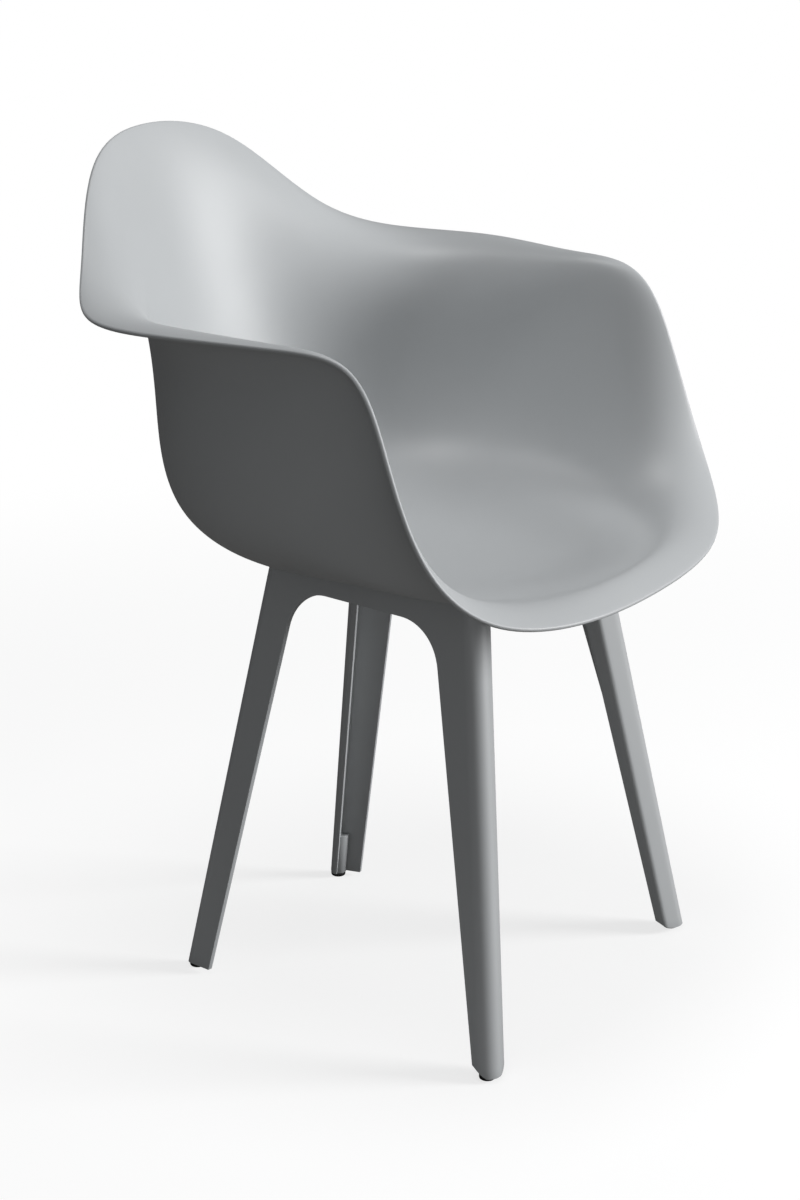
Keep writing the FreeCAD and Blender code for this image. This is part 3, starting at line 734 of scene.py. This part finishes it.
barSize = {"thick": 3.0, "width": 30.0, "edgeRound": 0.4, "endSteps": 64, "endMargin": 0.01}
barTop = sideFrame["railBottom"]
barLow = barTop - barSize["thick"]
for leg, pair in boltPairs.items():
    # flat bar with a round end about each of its two bolts
    ends = [circle(spot, barSize["width"] / 2, barSize["endSteps"]) for spot in pair]
    reach = pair[0].x - barSize["endMargin"]
    outline = sorted((p for p in ends[0] if p.x >= reach), key=lambda p: p.y)
    outline += sorted((p for p in ends[1] if p.x <= -reach), key=lambda p: -p.y)
    holes = [circle(spot, boltHole) for spot in pair]
    plate = plateMesh("bar", [outline] + holes, barLow, barTop)
    bar = finishMesh("bar", plate, [bevelled(barSize["edgeRound"], 2)])
    newPiece(f"crossBar{leg.title()}", bar, barMaterial, [f"cross_bar_{leg}"])

head, thick, edge, tip = (boltSize[key] for key in ("head", "headThick", "headEdge", "tipEdge"))
socket, sides, length = boltSize["socket"], boltSize["socketSides"], boltSize["length"]
socketEnd, shank = boltSize["socketDepth"] - thick, boltSize["radius"] - fitGap
boltProfile = [(coreRadius, socketEnd), (socket, socketEnd, sides), (socket, -thick, sides)]
boltProfile += [(head - inset, level - thick) for inset, level in boltSize["crown"]]
boltProfile += [(head, -edge), (head - edge, 0.0), (shank, 0.0), (shank, length - tip),
                (shank - tip, length), (coreRadius, length)]

washerSize = {"radius": 8.0, "thick": 1.6, "edge": 0.2}
washer, thick, edge = (washerSize[key] for key in ("radius", "thick", "edge"))
washerRing = [(boltHole, 0.0), (washer - edge, 0.0), (washer, edge), (washer, thick - edge),
              (washer - edge, thick), (boltHole, thick)]

knurl, length, edge = (insertSize[key] for key in ("radius", "length", "edge"))
thread = boltSize["radius"]
insertRing = [(thread, 0.0), (knurl - edge, 0.0), (knurl, edge)]
insertRing += [(knurl - inset, level) for inset, level in insertSize["groove"]]
insertRing += [(knurl, length - edge), (knurl - edge, length), (thread, length)]

headTop = barLow - washerSize["thick"]
small = {
    "seatBolts": (turnedMesh("bolt", boltProfile, upright), headTop, boltMaterial, "seat_bolts",
                  "bolt_steel"),
    "boltWashers": (tubeMesh("washer", washerRing), headTop, boltMaterial, "bolt_washers", "bolt_steel"),
    "threadedInserts": (tubeMesh("insert", insertRing), mountLevel, insertMaterial, "threaded_inserts",
                        "insert_brass"),
}
for name, (unit, level, material, node, slot) in small.items():
    spots = [Vector((spot.x, spot.y, level)) * mm for spot in boltSpots]
    newPiece(name, copiesAt(name, unit, spots, material), material, [node])
print("small pieces made")

# Camera and light

view = {"lens": 80.456, "sensor": 36.0, "clipEnd": 60, "azimuth": -59.17, "elevation": 17.45, "roll": 0.08,
        "distance": 2651.6, "aim": (0.0, 1.03, 374.97), "shift": (0.00665, 0.0011)}
azimuth, elevation = math.radians(view["azimuth"]), math.radians(view["elevation"])
level = math.cos(elevation)
back = Vector((math.sin(azimuth) * level, -math.cos(azimuth) * level, math.sin(elevation)))
camera = placed("camera", bpy.data.cameras.new("camera"))
camera.location = (Vector(view["aim"]) + back * view["distance"]) * mm
turned = (-back).to_track_quat("-Z", "Y").to_matrix() @ Matrix.Rotation(math.radians(view["roll"]), 3, "Z")
camera.rotation_euler = turned.to_euler()
camera.data.lens, camera.data.sensor_width = view["lens"], view["sensor"]
camera.data.shift_x, camera.data.shift_y = view["shift"]
camera.data.clip_end = view["clipEnd"]
bpy.context.scene.camera = camera

lightAim = Vector((0, 0, 0.45))
lights = {
    "key": {"place": (1.75, -3.2, 1.5), "size": 1.5, "power": 140},
    "top": {"place": (-0.3, 0.1, 3.0), "size": 1.2, "power": 28},
    "fill": {"place": (-3.0, -1.9, 0.9), "size": 2.0, "power": 9},
}
for name, look in lights.items():
    lamp = bpy.data.lights.new(name, "AREA")
    lamp.shape, lamp.size, lamp.energy = "DISK", look["size"], look["power"]
    holder = placed(name, lamp)
    holder.location = look["place"]
    holder.rotation_euler = (lightAim - holder.location).to_track_quat("-Z", "Y").to_euler()

# the camera sees white, and the chair is lit by a weak pale sky
studio = {
    "white": (1, 1, 1, 1), "sky": (0.96, 0.98, 1.0, 1), "skyStrength": 0.14, "bounce": (0.17, 0.165, 0.16, 1),
    "lit": (0.30, 0.30, 0.30, 1), "glow": 0.75, "glowEnd": 0.7, "whiteStart": 2.0, "floorReach": 9,
}
world = bpy.data.worlds.new("studio")
bpy.context.scene.world = world
world.use_nodes = True
world.node_tree.nodes.clear()
make = Shading(world.node_tree)
seen = make.node("ShaderNodeLightPath", output="Is Camera Ray")
sky = make.node("ShaderNodeBackground", {}, {"Color": studio["sky"], "Strength": studio["skyStrength"]})
white = make.node("ShaderNodeBackground", {}, {"Color": studio["white"], "Strength": 1.0})
page = make.node("ShaderNodeMixShader", {}, {0: seen, 1: sky, 2: white})
make.node("ShaderNodeOutputWorld", {}, {"Surface": page})

# the floor is grey to the chair; the camera sees the chair's shadow on it, fading out to white
floorMaterial, make = newMaterial("paleFloor")
seen = make.node("ShaderNodeLightPath", output="Is Camera Ray")
bounce = make.node("ShaderNodeBsdfDiffuse", {}, {"Color": studio["bounce"]})
lit = make.node("ShaderNodeBsdfDiffuse", {}, {"Color": studio["lit"]})
glow = make.node("ShaderNodeEmission", {}, {"Color": studio["white"], "Strength": studio["glow"]})
far = make.node("ShaderNodeEmission", {}, {"Color": studio["white"], "Strength": 1.0})
place = make.node("ShaderNodeTexCoord", output="Object")
distance = make.node("ShaderNodeVectorMath", {"operation": "LENGTH"}, {0: place}, output="Value")
away = make.node("ShaderNodeMapRange", {"interpolation_type": "SMOOTHSTEP"},
                 {"Value": distance, "From Min": studio["glowEnd"], "From Max": studio["whiteStart"]})
near = make.node("ShaderNodeAddShader", {}, {0: lit, 1: glow})
page = make.node("ShaderNodeMixShader", {}, {0: away, 1: near, 2: far})
finishMaterial(make, make.node("ShaderNodeMixShader", {}, {0: seen, 1: bounce, 2: page}))
reach = studio["floorReach"]
corners = [Vector((x, y, 0)) for x, y in ((-reach, -reach), (reach, -reach), (reach, reach), (-reach, reach))]
floorMesh = meshFrom("floor", corners, [(0, 1, 2, 3)])
floor = placed("floor", floorMesh)
floorMesh.materials.append(floorMaterial)

bpy.context.scene.view_settings.view_transform = "Standard"

print("scene made")
